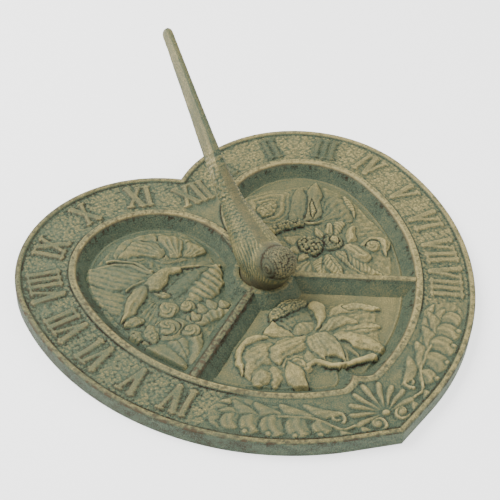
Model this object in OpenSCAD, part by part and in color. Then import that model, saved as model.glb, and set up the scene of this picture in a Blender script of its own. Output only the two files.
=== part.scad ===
// Garden sundial: a heart-shaped cast dial plate with three sunk panels, and a bird-shaped
// gnomon that stands in the ring at its hub and is held by one screw from below.
// The hub is where the hour lines meet. +Y runs from the hub to the notch and the XII.

/* [Heart outline] */
// Radius of each upper lobe
lobe_r = 73.6; // [66:0.1:76]
// Distance of each lobe's centre from the centre line
lobe_x = 46; // [44:0.1:50]
// Distance of the lobe centres north of the hub
lobe_y = 29.9; // [24:0.1:34]
// Radius of the long side curves
side_r = 144.5; // [136:0.5:152]
// Slope of the outline's normal where a lobe runs into a side, in degrees
join_angle = 5.5; // [3:0.5:9]
// Slope of the outline's normal where a side runs into the straight tip, in degrees
tip_angle = -70.7; // [-73:0.1:-68]

/* [Plate] */
// Height of the plate over its ridges
plate_h = 9; // [8:0.1:12]
// Height of the stippled band that carries the hours
band_h = 7.7; // [7:0.1:8]
// Width of the hour band, both ridges included
band_w = 30.5; // [28:0.1:34]
// Width of the ridge round the rim
rim_ridge_w = 3; // [2:0.1:5]
// Width of the ridge round the panels
panel_ridge_w = 3.2; // [2:0.1:5]
// Height of the panel floors
floor_h = 2.2; // [2:0.1:3]
// Width that the panel walls slope over
wall_run = 6.5; // [4:0.1:9]
// Wall thickness of the hollow under the hour band
skirt_w = 3.6; // [3:0.1:6]
// Depth of the hollows under the band and the ribs
hollow_h = 4.2; // [3:0.1:4.5]

/* [Ribs and hub] */
// Width of each rib along its top
rib_w = 3; // [2:0.1:6]
// Slope of the two lower ribs, in degrees
rib_angle = 32.8; // [28:0.1:38]
// Width of the web between the lobes
web_w = 8; // [6:0.5:12]
// Outer radius of the hub ring
hub_r = 15.5; // [15:0.1:18]
// Radius of the gnomon's seat in the hub
seat_r = 12.6; // [12:0.1:13.4]
// Height of the seat's floor
seat_h = 6.2; // [6:0.1:6.5]

/* [Hours] */
// Length of a numeral, from the hub outwards
numeral_l = 15; // [12:0.5:16]
// Width of a numeral's stroke
stroke_w = 2; // [1.4:0.1:2.6]
// Height of the numerals and ornament over the band
raise_h = 0.9; // [0.5:0.1:1.2]

/* [Gnomon] */
// Slope of the style edge, in degrees
style_angle = 41.1; // [38:0.1:44]
// Distance of the style's line south of the hub at the seat's height
style_south = 7.7; // [4:0.1:10]
// Height of the blade's tip
tip_h = 99; // [92:0.1:104]
// Thickness of the blade
blade_t = 2.6; // [2:0.1:4]
// Radius of the blade's round tip
blade_tip_r = 4.7; // [4:0.1:6]
// Angle between the blade's two edges, in degrees
blade_taper = 7.2; // [5:0.1:9]
// Gap between the gnomon's foot and the hub's seat
seat_gap = 0.25; // [0.1:0.05:0.5]

/* [Fixing screw] */
// Screw thread's diameter
screw_d = 6; // [5:0.5:6]
// Length of the screw under its head
screw_l = 12; // [10:0.5:13]
// Diameter of the screw's pan head
head_d = 11; // [10:0.5:12]
// Height of the screw's head
head_h = 1.6; // [1.4:0.1:1.8]
// Diameter of the washers
washer_d = 12.5; // [12:0.5:13]
// Thickness of each washer
washer_t = 0.9; // [0.8:0.1:1]

/* [Hidden] */
$fn = 96;
eps = 0.02;
// straight steps along each lobe and each side of the outline
lobe_steps = 26;
side_steps = 22;

// centre of the right-hand side curve, which the lobe touches from inside
side_x = lobe_x - (side_r - lobe_r) * cos(join_angle);
side_y = lobe_y - (side_r - lobe_r) * sin(join_angle);
// the straight tip: where it leaves the side curve, and where it meets the centre line
function tip_start(inset) = [side_x + (side_r - inset) * cos(tip_angle),
                             side_y + (side_r - inset) * sin(tip_angle)];
function tip_end_y(inset) = tip_start(inset)[1] + tip_start(inset)[0] / tan(tip_angle);

// gnomon: the centre of the blade's round tip, and both edges' directions
lower_angle = style_angle + blade_taper;
tip_z = tip_h - blade_tip_r;
tip_y = (tip_z - seat_h) / tan(style_angle) + blade_tip_r / sin(style_angle) - style_south;
blade_l = 74;

// the origin is the middle of the footprint, so the hub lies a little north of it
hub_y = -(tip_y + blade_tip_r + tip_end_y(0)) / 2;

// depths under the hub, from the bottom up: head, washers, plate
recess_h = head_h + 2 * washer_t + 0.4;
washer_z = recess_h - washer_t;
lock_z = washer_z - washer_t;
thread_hole_h = lock_z + screw_l + 0.8;
peg_r = 1.6;
peg_l = 2;
peg_y = 9;

// normals of the outline, in degrees, where the hours I to VIII stand
hour_normals = [108, 76, 44.5, 16, -3, -14, -25, -35.5];
// from the notch outwards: X is 2, V is 1 and I is 0
right_hours = [[0], [0, 0], [0, 0, 0], [0, 1], [1], [1, 0], [1, 0, 0], [1, 0, 0, 0]];
left_hours = [[2, 0], [2], [0, 2], [1, 0, 0, 0], [1, 0, 0], [1, 0], [1], [0, 1]];
twelve = [2, 0, 0];

module at_hub() { translate([0, hub_y, 0]) children(); }
module both_sides() { children(); mirror([1, 0, 0]) children(); }

// ---------- outlines ----------
function arc(centre, r, from, to, steps, first = 0) =
    [for (i = [first : steps]) let (a = from + (to - from) * i / steps) centre + r * [cos(a), sin(a)]];
// where a lobe begins: at the notch, or at its innermost point once the lobes part
function lobe_start(r) = r > lobe_x ? acos(-lobe_x / r) : 180;
function right_side(inset) = concat(
    arc([lobe_x, lobe_y], lobe_r - inset, lobe_start(lobe_r - inset), join_angle, lobe_steps),
    arc([side_x, side_y], side_r - inset, join_angle, tip_angle, side_steps, 1),
    [[0, tip_end_y(inset)]]);
function mirrored(points) = [for (i = [len(points) - 1 : -1 : 0]) [-points[i][0], points[i][1]]];

module heart(inset) polygon(concat(right_side(inset), mirrored(right_side(inset))));

// the space inside the panel ridge, whose walls spread from the floor upwards
module panel_space() {
    over = 1;
    spread = wall_run * over / (plate_h - floor_h);
    function ring(inset, z) = let (right = right_side(inset), left = mirrored(right))
        [for (p = concat(right, [for (i = [1 : len(left) - 1]) left[i]])) [p[0], p[1], z]];
    low = ring(band_w + wall_run, floor_h);
    high = ring(band_w - spread, plate_h + over);
    n = len(low);
    half = (n - 1) / 2;
    // each end face is a fan of triangles round three inner points: both lobes' centres and the middle
    function inner(z) = [[lobe_x, lobe_y, z], [0, -10, z], [-lobe_x, lobe_y, z]];
    function fan(i) = i < lobe_steps ? 0 : i < 2 * half - lobe_steps ? 1 : 2;
    function cap(from, at) = concat(
        [for (i = [0 : n - 2]) [from + i, from + i + 1, at + fan(i)]],
        [[from + lobe_steps, at + 1, at], [from + 2 * half - lobe_steps, at + 2, at + 1],
         [from, at, at + 1], [from + n - 1, at + 1, at + 2], [from + n - 1, from, at + 1]]);
    function flipped(faces) = [for (f = faces) [f[2], f[1], f[0]]];
    polyhedron(concat(low, high, inner(floor_h), inner(plate_h + over)), concat(
        flipped(cap(0, 2 * n)),
        cap(n, 2 * n + 3),
        [for (i = [0 : n - 1]) [i, (i + 1) % n, n + (i + 1) % n]],
        [for (i = [0 : n - 1]) [i, n + (i + 1) % n, n + i]]));
}

// ---------- what stands inside the panels ----------
module rib(length, width) {
    half = width / 2;
    top = plate_h - 0.3;
    rotate([90, 0, 90]) linear_extrude(length)
        polygon([[-half - wall_run, floor_h - 1], [half + wall_run, floor_h - 1], [half, top], [-half, top]]);
}

module ribs() {
    both_sides() rotate([0, 0, -rib_angle]) rib(96, rib_w);
    rotate([0, 0, 90]) rib(60, web_w);
}

module hub_boss() {
    translate([0, 0, floor_h - 1])
        cylinder(r1 = hub_r + wall_run, r2 = hub_r, h = plate_h - 0.2 - floor_h + 1);
}

// the small cusp that points from the tip back to the hub
module tip_cusp() {
    half = 10.5;
    r = 14.5;
    y = -86;
    difference() {
        translate([-half, y - 12, floor_h - 1]) cube([2 * half, 20, plate_h - floor_h + 1]);
        both_sides() translate([half, y + r, 0]) cylinder(r = r, h = plate_h + 1);
    }
}

// ---------- reliefs ----------
module leaf(x, y, length, width, angle, h) {
    r = (length * length / width + width) / 4;
    translate([x, y, floor_h - eps]) rotate([0, 0, angle]) linear_extrude(h)
        intersection() {
            translate([length / 2, r - width / 2]) circle(r = r);
            translate([length / 2, width / 2 - r]) circle(r = r);
        }
}

module bloom(x, y, petals, r, h) {
    inner_r = r * 0.15;
    for (i = [0 : petals - 1]) {
        a = i * 360 / petals + 7;
        leaf(x + inner_r * cos(a), y + inner_r * sin(a), r - inner_r, r * 0.4, a, h);
    }
    translate([x, y, floor_h - eps]) cylinder(r = r * 0.3, h = h + 0.8);
}

module bird_panel() {
    leaf(-80, 34, 36, 9, -28, 2.6);
    leaf(-84, 40, 46, 12, -20, 1.8);
    leaf(-56, 52, 34, 13, -32, 2.2);
    leaf(-62, 26, 30, 9, -6, 3);
    leaf(-66, 8, 24, 11, 72, 2.2);
    leaf(-32, -12, 24, 12, 70, 2);
    bloom(-66, -14, 6, 14, 2.4);
    bloom(-36, -6, 5, 9, 2);
}

module butterfly_panel() {
    leaf(25, 30, 34, 13, 36, 2);
    leaf(31, 26, 40, 12, 54, 1.6);
    leaf(20, 23.5, 26, 7, -3, 3);
    leaf(22, 42, 24, 12, 24, 2.3);
    bloom(38, 5, 7, 12, 2.6);
    bloom(61, -8, 6, 9, 2.1);
    bloom(31, -13, 5, 8, 1.9);
}

module blossom_panel() {
    x = -2;
    y = -47;
    heart_r = 6;
    spread = [-152, -127, -97, -62, -36, -9, 11, 171];
    for (a = spread)
        leaf(x + 3 * cos(a), y + 3 * sin(a), 32, 7, a, 2.2);
    translate([x, y, floor_h - eps]) cylinder(r = heart_r, h = 3.2);
    leaf(-17, -36, 28, 12, 3, 3.5);
}

// ---------- hour band ----------
module stroke(lean, x) {
    translate([x, 0, band_h - eps]) rotate([0, 0, lean])
        translate([-stroke_w / 2, -numeral_l / 2, 0]) cube([stroke_w, numeral_l, raise_h]);
}

glyph_w = [3.6, 9, 9];
module glyph(kind, x) {
    if (kind == 0) stroke(0, x);
    if (kind == 1) {
        stroke(14, x - 2);
        stroke(-14, x + 2);
    }
    if (kind == 2) {
        stroke(22, x);
        stroke(-22, x);
    }
}
function before(glyphs, i) = i == 0 ? 0 : before(glyphs, i - 1) + glyph_w[glyphs[i - 1]];
module numeral(glyphs) {
    total = before(glyphs, len(glyphs));
    for (i = [0 : len(glyphs) - 1])
        glyph(glyphs[i], before(glyphs, i) + glyph_w[glyphs[i]] / 2 - total / 2);
}

// places children on the middle of the band, tops outwards, on the right-hand half
module on_band(normal) {
    on_lobe = normal > join_angle;
    middle = (rim_ridge_w + band_w - panel_ridge_w) / 2;
    translate(on_lobe ? [lobe_x, lobe_y, 0] : [side_x, side_y, 0])
        rotate([0, 0, normal]) translate([(on_lobe ? lobe_r : side_r) - middle, 0, 0])
            rotate([0, 0, -90]) children();
}

module hours() {
    for (i = [0 : 7]) {
        on_band(hour_normals[i]) numeral(right_hours[i]);
        mirror([1, 0, 0]) on_band(hour_normals[i]) mirror([1, 0, 0]) numeral(left_hours[i]);
    }
    translate([0, 73.5, 0]) numeral(twelve);
}

// a palmette at the tip and scrolled leaves up both sides
module ornament() {
    ray_l = 15;
    translate([0, -105, band_h - floor_h]) for (a = [-72 : 18 : 72])
        leaf(0, 0, ray_l, 3.4, 90 + a, raise_h);
    both_sides() for (a = [-44 : -7 : -65]) on_band(a) {
        translate([0, 0, band_h - eps]) linear_extrude(raise_h) difference() {
            circle(r = 6.5);
            translate([1.5, 1]) circle(r = 4.4);
        }
    }
}

// ---------- castings ----------
module plate_body() {
    linear_extrude(band_h) heart(0);
    linear_extrude(plate_h) difference() {
        heart(0);
        heart(rim_ridge_w);
    }
    linear_extrude(plate_h) heart(band_w - panel_ridge_w);
}

module hollows() {
    translate([0, 0, -eps]) linear_extrude(hollow_h + eps) difference() {
        heart(skirt_w);
        heart(band_w - 2);
    }
    // one slot under each lower rib, from the hub boss to the band
    slot_start = 22;
    slot_l = 58;
    slot_w = rib_w * 2.4;
    both_sides() rotate([0, 0, -rib_angle]) translate([slot_start, -slot_w / 2, -eps])
        cube([slot_l, slot_w, hollow_h + eps]);
}

module dial_plate() color("darkkhaki") at_hub() {
    difference() {
        union() {
            difference() {
                plate_body();
                difference() {
                    panel_space();
                    ribs();
                    hub_boss();
                    tip_cusp();
                }
            }
            bird_panel();
            butterfly_panel();
            blossom_panel();
            hours();
            ornament();
        }
        hollows();
        translate([0, 0, seat_h]) cylinder(r = seat_r, h = plate_h);
        translate([0, 0, -eps]) cylinder(d = washer_d + 1, h = recess_h + eps);
        cylinder(d = screw_d + 0.6, h = plate_h);
        translate([0, peg_y, seat_h - peg_l - 0.3]) cylinder(r = peg_r + 0.2, h = peg_l + 1);
    }
}

// ---------- gnomon ----------
// the bird's body as ball centres [y, z] and radii, from breast to tail
body = [[1.5, 16.6, 12], [11.6, 21.2, 11.4], [20.2, 25.4, 9], [29.3, 29.4, 6.6], [37, 34, 5.4], [47, 41.5, 4.6]];
crown = [-14, 27, 8.4];

module ball(b) { translate([0, b[0], b[1]]) sphere(r = b[2], $fn = 28); }

module bird() {
    for (i = [0 : len(body) - 2])
        hull() {
            ball(body[i]);
            ball(body[i + 1]);
        }
    hull() {
        translate([0, 0, seat_h + 2]) cylinder(r = seat_r - seat_gap, h = 1.2, $fn = 32);
        ball(body[0]);
        ball(crown);
    }
}

module blade() {
    function lower(along) = blade_tip_r + along * tan(blade_taper);
    translate([-blade_t / 2, tip_y, tip_z]) rotate([90, 0, 90]) linear_extrude(blade_t) {
        circle(r = blade_tip_r);
        rotate(style_angle - 180)
            polygon([[0, -blade_tip_r], [blade_l + 6, -blade_tip_r], [blade_l + 6, lower(0)],
                     [blade_l - 12, lower(blade_l - 12)],
                     [-blade_tip_r * sin(blade_taper), blade_tip_r * cos(blade_taper)]]);
    }
}

module gnomon() color("tan") at_hub() {
    difference() {
        union() {
            blade();
            bird();
            translate([0, 0, seat_h]) cylinder(r = seat_r - seat_gap, h = 3);
            translate([0, peg_y, seat_h - peg_l]) cylinder(r = peg_r, h = peg_l + 1);
        }
        translate([0, 0, seat_h - eps]) cylinder(d = screw_d, h = thread_hole_h - seat_h);
    }
}

// ---------- fixing ----------
module washer(z) {
    translate([0, 0, z]) difference() {
        cylinder(d = washer_d, h = washer_t);
        translate([0, 0, -eps]) cylinder(d = screw_d + 0.4, h = washer_t + 2 * eps);
    }
}

module flat_washer() color("dimgray") at_hub() washer(washer_z);

module lock_washer() color("gray") at_hub() difference() {
    washer(lock_z);
    rotate([0, 0, 30]) translate([0, -0.5, lock_z - 1]) cube([washer_d, 1, washer_t + 2]);
}

module fixing_screw() color("silver") at_hub() {
    slot_w = 1.4;
    slot_depth = 0.8;
    difference() {
        translate([0, 0, lock_z - head_h]) union() {
            cylinder(d = head_d, h = head_h);
            cylinder(d = screw_d, h = head_h + screw_l);
        }
        translate([-head_d, -slot_w / 2, lock_z - head_h - eps])
            cube([2 * head_d, slot_w, slot_depth + eps]);
    }
}

dial_plate();
gnomon();
fixing_screw();
lock_washer();
flat_washer();
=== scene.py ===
"""Garden sundial: a heart-shaped cast iron plate with a verdigris finish, and its bird gnomon.

All the shapes are worked out in millimetres round the hub, where the hour lines meet: +Y runs from
the hub to the notch and the XII, and z = 0 is the face that the plate rests on.
"""

import math

import bmesh
import bpy
import numpy as np
from mathutils import Matrix, Vector


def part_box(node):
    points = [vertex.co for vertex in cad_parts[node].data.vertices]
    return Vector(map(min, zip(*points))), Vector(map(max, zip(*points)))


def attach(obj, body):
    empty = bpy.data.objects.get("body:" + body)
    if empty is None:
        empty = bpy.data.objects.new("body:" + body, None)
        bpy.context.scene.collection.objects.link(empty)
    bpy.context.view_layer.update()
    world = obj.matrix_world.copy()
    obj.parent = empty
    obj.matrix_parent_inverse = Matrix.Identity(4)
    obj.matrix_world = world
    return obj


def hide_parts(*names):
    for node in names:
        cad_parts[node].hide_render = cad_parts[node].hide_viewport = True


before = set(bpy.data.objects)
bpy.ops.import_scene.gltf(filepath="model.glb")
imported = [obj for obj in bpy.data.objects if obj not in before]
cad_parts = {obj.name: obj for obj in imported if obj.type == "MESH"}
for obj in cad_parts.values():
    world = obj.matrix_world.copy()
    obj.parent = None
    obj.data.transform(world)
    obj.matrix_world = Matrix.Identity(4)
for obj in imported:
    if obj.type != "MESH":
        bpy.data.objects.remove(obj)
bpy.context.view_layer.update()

MM = 0.001
washer_low, washer_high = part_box("flat_washer")
HUB = (washer_low + washer_high) / 2
PLATE_TOP = round(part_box("dial_plate")[1].z / MM, 2)

# The dial plate's sizes, as on the casting
LOBE_R, LOBE_X, LOBE_Y = 73.6, 46.0, 29.9
SIDE_R, JOIN_ANGLE, TIP_ANGLE = 144.5, 5.5, -70.7
SIDE_X = LOBE_X - (SIDE_R - LOBE_R) * math.cos(math.radians(JOIN_ANGLE))
SIDE_Y = LOBE_Y - (SIDE_R - LOBE_R) * math.sin(math.radians(JOIN_ANGLE))
RIDGE_H, BAND_H, FLOOR_H = PLATE_TOP, 7.9, 2.2
BAND_W, RIM_RIDGE_W, PANEL_RIDGE_W = 30.5, 3.0, 3.2
INNER_RIDGE = BAND_W - PANEL_RIDGE_W  # inset at which the inner ridge begins
WALL_RUN = 6.5
SKIRT_W, HOLLOW_H = 3.6, 4.2
RIB_W, RIB_ANGLE, WEB_W = 3.0, 32.8, 8.0
HUB_R, SEAT_R, SEAT_H = 15.5, 12.6, 6.2
CUSP_X, CUSP_Y, CUSP_R = 10.5, -71.5, 14.5
TUCK = 0.9  # how far the feet of the ribs and the ring reach on under the panels, and below their floor
PANEL_BASE = 0.05  # height of the panels' undersides
CELL = 0.34  # the panels' grid

# Tones: places on the finish's ramp of colours, from 0 in a crevice to 1 on a rubbed high spot; the low tones
# stand for dark patina and in places for painted shade
HOLLOW_TONE, SIDE_TONE = 0.31, 0.27
LIGHTER_TO_RIGHT = 0.0007  # tone added per millimetre


# ---------- small tools ----------
def step(low, high, v):
    """0 below low, 1 above high and a smooth rise between; low may be the larger."""
    t = np.clip((v - low) / (high - low), 0, 1)
    return t * t * (3 - 2 * t)


def lump(v, width):
    """A round bump across v = 0, 1 at its middle and about 0.37 at v = width."""
    return np.exp(-((v / width) ** 2))


def hashed(i, j, seed):
    """A repeatable number from 0 to 1 for each pair of whole numbers."""
    n = np.sin(i * 127.1 + j * 311.7 + seed * 74.7) * 43758.5453
    return n - np.floor(n)


def value_noise(x, y, size, seed=0):
    """Smooth noise from -1 to 1, with lumps about size across."""
    u, v = x / size, y / size
    i, j = np.floor(u), np.floor(v)
    fu, fv = u - i, v - j
    fu, fv = fu * fu * (3 - 2 * fu), fv * fv * (3 - 2 * fv)
    low = hashed(i, j, seed) * (1 - fu) + hashed(i + 1, j, seed) * fu
    high = hashed(i, j + 1, seed) * (1 - fu) + hashed(i + 1, j + 1, seed) * fu
    return (low * (1 - fv) + high * fv) * 2 - 1


def pebbles(x, y, pitch, seed=0):
    """Round grains packed at the pitch: 1 on each grain's top and 0 in the gaps."""
    u, v = x / pitch, y / pitch
    i0, j0 = np.floor(u), np.floor(v)
    nearest = np.full(np.shape(x), 9.0)
    for di in (-1, 0, 1):
        for dj in (-1, 0, 1):
            i, j = i0 + di, j0 + dj
            cx = i + 0.5 + 0.7 * (hashed(i, j, seed) - 0.5)
            cy = j + 0.5 + 0.7 * (hashed(i, j, seed + 5) - 0.5)
            nearest = np.minimum(nearest, (u - cx) ** 2 + (v - cy) ** 2)
    return np.clip(1 - nearest / 0.42, 0, 1)


def turned(x, y, at, degrees):
    """Coordinates in a frame at the point, whose first axis points that way."""
    a = math.radians(degrees)
    dx, dy = x - at[0], y - at[1]
    return dx * math.cos(a) + dy * math.sin(a), dy * math.cos(a) - dx * math.sin(a)


def to_segment(x, y, a, b):
    """Distance to the straight line from a to b, and how far along it, from 0 to 1."""
    ex, ey = b[0] - a[0], b[1] - a[1]
    t = np.clip(((x - a[0]) * ex + (y - a[1]) * ey) / (ex * ex + ey * ey), 0, 1)
    return np.hypot(x - a[0] - t * ex, y - a[1] - t * ey), t


def blurred(h, cells):
    """The grid smoothed over about that many cells each way."""
    for axis in (0, 1):
        for _ in range(3):
            size = 2 * cells + 1
            padded = np.concatenate([h.take([0] * (cells + 1), axis), h, h.take([-1] * cells, axis)], axis)
            total = np.cumsum(padded, axis)
            count = total.shape[axis]
            h = (total.take(range(size, count), axis) - total.take(range(count - size), axis)) / size
    return h


# ---------- the heart outline ----------
def lobe_start(r):
    """The angle where a lobe begins, at the notch, or its innermost point once the lobes part."""
    return math.degrees(math.acos(-LOBE_X / r)) if r > LOBE_X else 180.0


def on_arc(cx, cy, r, degrees):
    a = np.radians(degrees)
    return np.stack([cx + r * np.cos(a), cy + r * np.sin(a)], -1)


def on_lobe(inset, degrees):
    """Points on the right lobe's arc, moved in by the inset. on_side does the same for the side."""
    return on_arc(LOBE_X, LOBE_Y, LOBE_R - inset, degrees)


def on_side(inset, degrees):
    return on_arc(SIDE_X, SIDE_Y, SIDE_R - inset, degrees)


def right_side(inset, counts):
    """Points down the right half of the outline, from the notch to the tip, both on the centre line."""
    lobe_n, side_n, tip_n = counts
    lobe = on_lobe(inset, np.linspace(lobe_start(LOBE_R - inset), JOIN_ANGLE, lobe_n + 1))
    lobe[0, 0] = 0
    side = on_side(inset, np.linspace(JOIN_ANGLE, TIP_ANGLE, side_n + 1)[1:])
    x, y = on_side(inset, TIP_ANGLE)
    end = np.array([0, y + x / math.tan(math.radians(TIP_ANGLE))])
    t = np.linspace(0, 1, tip_n + 1)[1:, None]
    return np.concatenate([lobe, side, np.array([x, y]) * (1 - t) + end * t])


def inset_at(x, y):
    """How far inside the outline a point lies."""
    x = np.abs(x)
    tip, join = math.radians(TIP_ANGLE), math.radians(JOIN_ANGLE)
    dx, dy = x - SIDE_X, y - SIDE_Y
    from_lobe = LOBE_R - np.hypot(x - LOBE_X, y - LOBE_Y)
    from_side = SIDE_R - np.hypot(dx, dy)
    from_tip = SIDE_R - dx * math.cos(tip) - dy * math.sin(tip)
    beyond_join = dx * math.sin(join) - dy * math.cos(join) > 0
    beyond_side = np.degrees(np.arctan2(dy, dx)) < TIP_ANGLE
    inset = np.where(beyond_join, from_side, from_lobe)
    inset = np.where(beyond_join & beyond_side, from_tip, inset)
    from_cusp = BAND_W + CUSP_R - np.hypot(x - CUSP_X, y - CUSP_Y)
    return np.where((y < CUSP_Y) & (x < CUSP_X), np.minimum(inset, from_cusp), inset)


def pushed_by_cusp(x, y, d):
    """Moves the rows of the inner ridge and wall north at the tip, round the small cusp there."""
    r = CUSP_R + BAND_W - d
    reach = np.abs(x) - CUSP_X
    limit = CUSP_Y - np.sqrt(np.clip(r * r - reach * reach, 0, None))
    near = (reach < 0) & (y < CUSP_Y)
    share = step(BAND_W - 7, INNER_RIDGE, d)
    return np.where(near, y + share * np.clip(limit - y, 0, None), y)


# ---------- meshes ----------
def add_object(name, data):
    obj = bpy.data.objects.new(name, data)
    bpy.context.scene.collection.objects.link(obj)
    return obj


def piece(name, points, faces, tone=None, grain=None, brown=None):
    """A smooth-shaded mesh from points in the hub's millimetres. tone runs from 0 in a recess to 1 on
    a rubbed high spot, with painted shade in places; grain says how pebbled the surface is, and brown
    how far it's tinted brown: by rust, and in places as painted shade."""
    mesh = bpy.data.meshes.new(name)
    points = np.asarray(points, float)
    faces = np.asarray(faces, np.int64)
    places = points * MM + np.array([HUB.x, HUB.y, 0])
    mesh.vertices.add(len(points))
    mesh.vertices.foreach_set("co", places.astype(np.float32).ravel())
    mesh.loops.add(faces.size)
    mesh.loops.foreach_set("vertex_index", faces.ravel().astype(np.int32))
    mesh.polygons.add(len(faces))
    mesh.polygons.foreach_set("loop_start", np.arange(0, faces.size, faces.shape[1], dtype=np.int32))
    mesh.update(calc_edges=True)
    mesh.validate()
    mesh.polygons.foreach_set("use_smooth", np.ones(len(mesh.polygons), bool))
    for key, values in (("tone", tone), ("grain", grain), ("brown", brown)):
        layer = mesh.attributes.new(key, "FLOAT", "POINT")
        values = np.zeros(len(points)) if values is None else np.asarray(values, float).ravel()
        if key == "tone":
            values = values + LIGHTER_TO_RIGHT * points[:, 0]
        layer.data.foreach_set("value", values.astype(np.float32))
    return add_object(name, mesh)


def close_holes(bm):
    bmesh.ops.holes_fill(bm, edges=[e for e in bm.edges if e.is_boundary], sides=0)
    bmesh.ops.recalc_face_normals(bm, faces=bm.faces)


def capped(obj):
    """Closes a mesh's open ends."""
    bm = bmesh.new()
    bm.from_mesh(obj.data)
    close_holes(bm)
    bm.to_mesh(obj.data)
    bm.free()
    return obj


def grid_faces(rows, columns, close_rows=False, close_columns=False):
    """Quads over a grid of points numbered row by row."""
    i = np.arange(rows if close_rows else rows - 1)[:, None]
    j = np.arange(columns if close_columns else columns - 1)[None, :]
    i2, j2 = (i + 1) % rows, (j + 1) % columns
    corners = (i * columns + j, i * columns + j2, i2 * columns + j2, i2 * columns + j)
    return np.stack(corners, -1).reshape(-1, 4)


def patina_and_shade(h, fine_cells, broad_cells):
    """The tone that a height grid takes: khaki, dark in its crevices, partly as dark patina and partly as
    painted shade, and a little lighter on its crests.
    """
    fine = h - blurred(h, fine_cells)
    broad = h - blurred(h, broad_cells)
    return 0.5 + 0.3 * np.clip(fine, 0, 1) + 0.85 * np.clip(fine, -1, 0) + 0.06 * broad


# ---------- ribs and hub ----------
def rib(name, length, width, degrees, top_tone=0.5, wear_and_shade=0.26):
    """A rib from the hub outwards: a crisp worn top and sloping sides, closed all round."""
    half = width / 2
    top = RIDGE_H - 0.3
    foot = half + WALL_RUN + TUCK
    slope = [(half + WALL_RUN * t, top - (top - FLOOR_H) * t) for t in np.linspace(0.06, 1, 9)]
    right = slope + [(foot, FLOOR_H - TUCK), (foot, 0.04)]
    crest = [(half * v, top + 0.28 * (1 - v * v)) for v in np.linspace(-1, 1, 9)]
    section = np.array([(-t, z) for t, z in right[::-1]] + crest + right)
    along = np.linspace(0, length, int(length / 0.6) + 1)
    s = np.broadcast_to(along[:, None], (len(along), len(section)))
    t = np.broadcast_to(section[:, 0], s.shape)
    z = np.broadcast_to(section[:, 1], s.shape)
    z = z + (z > FLOOR_H) * 0.1 * value_noise(s, t, 4.0, 1)
    a = math.radians(degrees)
    x, y = s * math.cos(a) - t * math.sin(a), s * math.sin(a) + t * math.cos(a)
    worn = step(-0.3, 0.7, value_noise(s, t, 1.0, 19))
    off_middle = np.abs(t)
    tone = np.where(off_middle < half + 0.1, top_tone - wear_and_shade * worn, HOLLOW_TONE)
    # a dark line just below the crest's edge is painted shadow, as strong as the wear
    tone = tone - wear_and_shade * lump(off_middle - half - 0.7, 0.5) + 0.05 * value_noise(s, t, 3.0, 7)
    brown = worn * (off_middle < half + 1) * wear_and_shade / 0.3
    points = np.stack([x, y, z], -1).reshape(-1, 3)
    faces = grid_faces(len(along), len(section), close_columns=True)
    return capped(piece(name, points, faces, tone, brown=brown))


def hub_ring():
    """The ring that the gnomon's foot stands in, turned round the hub's axis."""
    top, bore, base, bevel = RIDGE_H - 0.1, 3.4, 0.08, 0.5
    foot = HUB_R + WALL_RUN + TUCK
    section = [(bore, base), (bore, SEAT_H), (SEAT_R - 0.3, SEAT_H)]
    section += [(SEAT_R, SEAT_H + 0.3), (SEAT_R, top - bevel)]
    section += [(SEAT_R + bevel - bevel * math.cos(a), top - bevel + bevel * math.sin(a))
                for a in np.linspace(0.3, 1.5, 4)]
    section += [(HUB_R - bevel + bevel * math.sin(a), top - bevel + bevel * math.cos(a))
                for a in np.linspace(0, 1.2, 4)]
    section += [(HUB_R + WALL_RUN * t, top - 0.3 - (top - FLOOR_H) * t) for t in np.linspace(0.08, 1, 9)]
    section = np.array(section + [(foot, FLOOR_H - TUCK), (foot, base)])
    turn = np.linspace(0, 2 * math.pi, 240, endpoint=False)
    r = np.broadcast_to(section[:, 0], (len(turn), len(section)))
    z = np.broadcast_to(section[:, 1], r.shape)
    x, y = r * np.cos(turn)[:, None], r * np.sin(turn)[:, None]
    z = z + (r > SEAT_R) * (z > FLOOR_H) * 0.08 * value_noise(x, y, 4.0, 4)
    worn = step(-0.3, 0.7, value_noise(x, y, 1.0, 20))
    on_top = (r > SEAT_R - 0.1) & (r < HUB_R + 0.3)
    tone = np.where(on_top, 0.52 - 0.24 * worn, HOLLOW_TONE) + 0.05 * value_noise(x, y, 3.0, 8)
    points = np.stack([x, y, z], -1).reshape(-1, 3)
    faces = grid_faces(len(turn), len(section), close_rows=True, close_columns=True)[:, ::-1]
    return piece("hub_ring", points, faces, tone)


# ---------- relief ----------
def between(a, b, c, d, t):
    """A smooth curve from b to c as t runs from 0 to 1, where a comes before b and d after c."""
    return 0.5 * (2 * b + (c - a) * t + (2 * a - 5 * b + 4 * c - d) * t**2 + (3 * b - a - 3 * c + d) * t**3)


def smooth_outline(points, per_span=8):
    """A closed curve through the points. A point given twice in a row is a corner."""
    p = np.array(points, float)
    n = len(p)
    t = np.linspace(0, 1, per_span, endpoint=False)[:, None]
    spans = []
    for i in range(n):
        b, c = p[i], p[(i + 1) % n]
        if not np.allclose(b, c):
            spans.append(between(p[i - 1], b, c, p[(i + 2) % n], t))
    return np.concatenate(spans)


def inside_depth(x, y, outline):
    """Distance to a closed outline: positive inside it and negative outside."""
    nearest = np.full(x.shape, 1e9)
    inside = np.zeros(x.shape, bool)
    for a, b in zip(outline, np.roll(outline, -1, 0)):
        ex, ey = b - a
        length2 = ex * ex + ey * ey
        if length2 < 1e-9:
            continue
        t = np.clip(((x - a[0]) * ex + (y - a[1]) * ey) / length2, 0, 1)
        nearest = np.minimum(nearest, (x - a[0] - t * ex) ** 2 + (y - a[1] - t * ey) ** 2)
        crosses = (a[1] > y) != (b[1] > y)
        if ey:
            inside ^= crosses & (x < a[0] + (y - a[1]) * ex / ey)
    return np.where(inside, 1, -1) * np.sqrt(nearest)


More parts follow.
